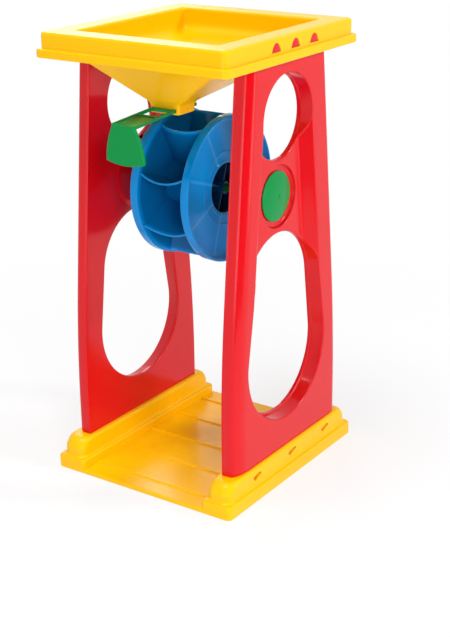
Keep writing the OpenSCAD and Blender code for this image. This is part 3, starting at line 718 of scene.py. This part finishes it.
def hopper_shells():
    """Closed loft of plan outlines: up the flange and skirt, over the rim, down the bowl and the slanted
    funnel to the spout, and back up outside; the skirt's two long walls are pierced by the snap windows.
    The funnel's two paths run from a share of 0 at the mouth to 1 at the spout, times a run."""
    run, flange_top = 70, flange_z + flange_h
    tray = rounded_path([[-skirt_wall, flange_z], [flange_out, flange_z], [flange_out, flange_top],
                         [0, flange_top], [0, panel_low_z], [0, panel_high_z], [0, rim_z], [-rim_w, rim_z],
                         [-rim_w, bowl_top_z + 2]], [0.9, 1.8, 0.5, panel_mark, panel_mark, 3.2, 3.0])
    bowl = rounded_path([[0, bowl_top_z], [0, bowl_foot_z], [run, spout_in_z], [run, spout_low_z + 1]],
                        [6, 5])
    funnel = rounded_path([[run, spout_low_z + 0.6], [run, spout_out_z], [0, flange_z], [0, rim_under_z]],
                          [4, 4])
    out, inside, outside = tray[:, 0], bowl[:, 0] / run, funnel[:, 0] / run
    back_x, back_y = mouth_x + funnel_wall, mouth_y + funnel_wall
    lip_x, lip_y, skirt_in_y = [12.8, 16.6], [10.95, 12.75], 108.2
    half_x = np.concatenate([skirt_x + out, mouth_x - (mouth_x - spout_in_x) * inside, lip_x,
                             back_x - (back_x - spout_out_x) * outside, 2 * [skirt_x - skirt_wall]])
    half_y = np.concatenate([skirt_y + skirt_stretch * out, mouth_y - (mouth_y - spout_in_y) * inside, lip_y,
                             back_y - (back_y - spout_out_y) * outside,
                             [skirt_in_y, skirt_y - skirt_stretch * skirt_wall]])
    z = np.concatenate([tray[:, 1], bowl[:, 1], 2 * [spout_low_z], funnel[:, 1], [rim_under_z, flange_z]])
    mid_y = spout_y * np.concatenate([0 * out, inside, [1, 1], outside, [0, 0]])
    r = np.concatenate([np.clip(tray_r + 0.5 * out, 4, 8), mouth_r - (mouth_r - spout_r) * inside,
                        2 * [spout_r], tray_r - (tray_r - spout_r) * outside, 2 * [spout_r]])
    loops = rounded_loops(half_x, half_y, r, z, mid_y)
    points, (cells,) = sheet(loops, wrap=True)
    panel_ends = (panel_low_z + panel_mark, panel_high_z - panel_mark)
    low, high = (np.argmin(np.abs(tray[:, 1] - level)) for level in panel_ends)
    row, col = np.divmod(np.arange(len(cells)), loops.shape[1])
    right_col, left_col = 6, 20
    cut = ((col == right_col) | (col == left_col)) & (row >= low) & (row < high)
    shells = [(points, [cells[~cut]])]
    span = skirt_y - tray_r
    y, up = np.meshgrid(np.linspace(-span, span, 283), np.linspace(z[low], z[high], 17))
    y, up, kept = pierced(y, up, skirt_gap, cell=0.75)
    hole = rounded_path(arch_outline(skirt_window_w, skirt_window_h, sill_z), 0.2, closed=True, steps=3)
    for side in (1, -1):
        shells.append(pierced_sheet(np.stack([side * skirt_x + 0 * y, y, up], -1), kept, flip=side < 0))
        levels = [side * skirt_x, side * (skirt_x - skirt_wall)]
        for y_mid in tab_y + top_tabs:
            shells.append(sheet(carried(hole + [y_mid, 0], levels), wrap=True, flip=side < 0))
    return shells


even_shading(build("hopper_tray", hopper_shells(), yellow, "stand", ["hopper"], closed=False))


# The gate is a green strip with a window that slides through the spout to let the sand fall. It droops a
# little towards its broad hanging handle, and two ears behind the spout stop it from coming out.
tilt, gate_z = np.radians(3.4), 379.5
strip_x, bar_x, web_half, ear_x = 14, 11.5, 12, 16
front_y, back_y, ear_y, window_front_y, window_back_y = -75.5, 17.1, 13.45, -40, -17.5
strip_half, dish_z, strip_soft = 1.5, 0.5, 0.5


def in_gate(points):
    """Points of the gate's own frame, in the middle of the spout, turned to its droop and set in place."""
    x, y, z = points[..., 0], points[..., 1], points[..., 2]
    deep, up = y * np.cos(tilt) - z * np.sin(tilt), y * np.sin(tilt) + z * np.cos(tilt)
    return np.stack([x, spout_y + deep, gate_z + up], -1)


def plate(x0, x1, y0, y1, top=strip_half):
    """Rounded bar or plate of the strip between two corners, from the strip's underside to a top."""
    edge = rounded_path([[x0, y0], [x1, y0], [x1, y1], [x0, y1]], strip_soft, closed=True, steps=4)
    return sheet(in_gate(slab(edge, -strip_half, top, strip_soft)), wrap=True, caps=True)


side_bars = [plate(-strip_x, -bar_x, front_y, back_y), plate(bar_x, strip_x, front_y, back_y)]
dish = [plate(-web_half, web_half, front_y, window_front_y, top=dish_z),
        plate(-web_half, web_half, window_front_y - 1.5, window_front_y + 1.5)]
shutter = [plate(-web_half, web_half, window_back_y, back_y)]
ends = [plate(-web_half, web_half, front_y - 0.5, front_y + 3), plate(-ear_x, ear_x, ear_y, back_y)]
even_shading(build("gate_strip", side_bars + dish + shutter + ends, green, "gate", ["gate_slide"]))

neck_half, grip_half, grip_side_h, grip_bow, flare_power = 12, 22, 35.5, 3.5, 1.8
grip_near_y, grip_far_y, grip_soft, corner_soft, edge_soft = 73.0, 77.0, 1.2, 1.4, 0.9
share, x = np.linspace(0, 1, 13)[:-1], np.linspace(-grip_half, grip_half, 15)
flare_x = neck_half + (grip_half - neck_half) * (1 - (1 - share) ** flare_power)
flare = np.stack([flare_x, -grip_side_h * share], -1)
bowed = np.stack([x, grip_bow * (x * x / grip_half ** 2 - 1) - grip_side_h], -1)
grip = np.concatenate([flare * [-1, 1], bowed, flare[::-1]])
soft = np.full(len(grip), edge_soft)
soft[[0, len(flare), len(flare) + len(bowed) - 1, -1]] = corner_soft
grip = slab(rounded_path(grip, soft, closed=True, steps=5), grip_near_y, grip_far_y, grip_soft)
grip = in_gate(np.stack([grip[..., 0], -grip[..., 2], grip[..., 1] + strip_half], -1))
grip_shell = sheet(grip, wrap=True, caps=True)
even_shading(build("gate_handle", [grip_shell], green, "gate", ["gate_slide"]))


# The stage is a pale matt floor that keeps the toy's shadow, in a white surround. Soft boxes light it from
# above and all round, low strips reach under the hopper, and a dark card that only mirror rays see deepens
# the right frame's reflections. The camera stands where the photograph was taken.


def white_to_camera(tree, shade, rest):
    """Mix of two shaders: camera, mirror and through rays see the first, all other rays the second."""
    light = tree.nodes.new("ShaderNodeLightPath")
    seen = light.outputs["Is Camera Ray"]
    for ray in ("Is Glossy Ray", "Is Transmission Ray"):
        either = tree.nodes.new("ShaderNodeMath")
        either.operation = "MAXIMUM"
        tree.links.new(seen, either.inputs[0])
        tree.links.new(light.outputs[ray], either.inputs[1])
        seen = either.outputs[0]
    mix = tree.nodes.new("ShaderNodeMixShader")
    tree.links.new(seen, mix.inputs["Fac"])
    tree.links.new(rest, mix.inputs[1])
    tree.links.new(shade, mix.inputs[2])
    return mix.outputs[0]


full_white, ambient_light = (1, 1, 1, 1), 0.27
world = bpy.data.worlds.new("studio")
world.use_nodes = True
bpy.context.scene.world = world
tree = world.node_tree
ambient, white = tree.nodes["Background"], tree.nodes.new("ShaderNodeBackground")
ambient.inputs["Color"].default_value, ambient.inputs["Strength"].default_value = full_white, ambient_light
white.inputs["Color"].default_value, white.inputs["Strength"].default_value = full_white, 1
surround = white_to_camera(tree, white.outputs[0], ambient.outputs[0])
tree.links.new(surround, tree.nodes["World Output"].inputs["Surface"])

floor_grey, floor_r, floor_drop = (0.92, 0.92, 0.92, 1), 6, 0.0002
glow_by_distance = {"From Min": 0.25, "From Max": 0.75, "To Min": 0.7, "To Max": 1}
pale_floor = bpy.data.materials.new("pale_floor")
pale_floor.use_nodes = True
tree = pale_floor.node_tree
matt = tree.nodes["Principled BSDF"]
matt.inputs["Base Color"].default_value, matt.inputs["Roughness"].default_value = floor_grey, 0.6
matt.inputs["Specular IOR Level"].default_value = 0.1
glow, half_lit = tree.nodes.new("ShaderNodeEmission"), tree.nodes.new("ShaderNodeMixShader")
glow.inputs["Color"].default_value = full_white
far, fade = tree.nodes.new("ShaderNodeVectorMath"), tree.nodes.new("ShaderNodeMapRange")
far.operation = "LENGTH"
for key, value in glow_by_distance.items():
    fade.inputs[key].default_value = value
tree.links.new(tree.nodes.new("ShaderNodeTexCoord").outputs["Object"], far.inputs[0])
tree.links.new(far.outputs["Value"], fade.inputs["Value"])
tree.links.new(fade.outputs["Result"], half_lit.inputs["Fac"])
tree.links.new(matt.outputs[0], half_lit.inputs[1])
tree.links.new(glow.outputs[0], half_lit.inputs[2])
floor_look = white_to_camera(tree, half_lit.outputs[0], matt.outputs[0])
tree.links.new(floor_look, tree.nodes["Material Output"].inputs["Surface"])


def stage_mesh(name, points, material, wrap=False):
    """Object of the stage over a grid of points in metres."""
    points, (cells,) = sheet(points, wrap=wrap)
    mesh = bpy.data.meshes.new(name)
    mesh.from_pydata(points.tolist(), [], cells.tolist())
    mesh.materials.append(material)
    made = bpy.data.objects.new(name, mesh)
    bpy.context.scene.collection.objects.link(made)
    return made


ring, turn = np.linspace(0, floor_r, 13)[:, None], np.linspace(0, 2 * np.pi, 48, endpoint=False)[None, :]
ground = np.stack([ring * np.cos(turn), ring * np.sin(turn), 0 * ring * turn - floor_drop], -1)
floor = stage_mesh("floor", ground, pale_floor, wrap=True)


def posed(right, up, back, place):
    """Matrix of a lamp or camera from its three axes and its place."""
    return Matrix(np.vstack([np.column_stack([right, up, back, place]), [0, 0, 0, 1]]).tolist())


def lamp(name, place, aim, wide, tall, power):
    """Soft box at a place, turned to face a point, in metres and watts."""
    light = bpy.data.lights.new(name, "AREA")
    light.shape, light.size, light.size_y, light.energy = "RECTANGLE", wide, tall, power
    made = bpy.data.objects.new(name, light)
    bpy.context.scene.collection.objects.link(made)
    back = np.array(place, float) - aim
    back /= np.linalg.norm(back)
    right = np.cross([0, 0, 1], back)
    right /= np.linalg.norm(right)
    made.matrix_world = posed(right, np.cross(back, right), back, place)
    made.visible_camera = False
    return made


high_aim, low_aim = (0, 0, 0.3), (0, 0, 0.25)
lamp("top_box", (-0.2, -0.5, 2.2), high_aim, wide=0.9, tall=0.9, power=25)
lamp("front_box", (1.3, -1.2, 0.9), high_aim, wide=0.5, tall=0.5, power=10).visible_glossy = False
lamp("side_box", (1.6, 0.78, 1.3), high_aim, wide=0.4, tall=0.4, power=16)
lamp("back_box", (-1.3, 1.3, 1.2), high_aim, wide=0.6, tall=0.6, power=6)
lamp("low_front_strip", (0.6, -0.92, 0.21), low_aim, wide=0.9, tall=0.4, power=2.4)
lamp("low_side_strip", (1.04, 0.5, 0.21), low_aim, wide=0.2, tall=0.4, power=0.6)

card_away, card_low, card_high, card_from, card_to = 0.7, 0.002, 0.5, 50, 98
dark = bpy.data.materials.new("dark_card")
dark.use_nodes = True
dark.node_tree.nodes["Principled BSDF"].inputs["Base Color"].default_value = (0.02, 0.02, 0.02, 1)
turn = np.radians(np.linspace(card_from, card_to, 13))[None, :]
rise = np.linspace(card_low, card_high, 3)[:, None]
bend = [card_away * np.sin(turn) + 0 * rise, -card_away * np.cos(turn) + 0 * rise, rise + 0 * turn]
card = stage_mesh("dark_card", np.stack(bend, -1), dark)
card.visible_camera = card.visible_diffuse = card.visible_shadow = card.visible_transmission = False

az, el, roll = np.radians([34.669, 21.271, -0.786])
target, away, focal_pixels, picture_h, sensor = np.array([0.02475, 0, 0.15441]), 1.3503, 1319.11, 637, 36
forward = np.array([-np.sin(az) * np.cos(el), np.cos(az) * np.cos(el), -np.sin(el)])
right = np.array([np.cos(az), np.sin(az), 0])
up = np.cross(right, forward)
right, up = np.cos(roll) * right + np.sin(roll) * up, np.cos(roll) * up - np.sin(roll) * right
lens = bpy.data.cameras.new("camera")
lens.sensor_width, lens.lens = sensor, focal_pixels * sensor / picture_h
lens.clip_start, lens.clip_end = 0.05, 50
camera = bpy.data.objects.new("camera", lens)
bpy.context.scene.collection.objects.link(camera)
camera.matrix_world = posed(right, up, -forward, target - away * forward)
bpy.context.scene.camera = camera
bpy.context.scene.view_settings.view_transform = "Standard"
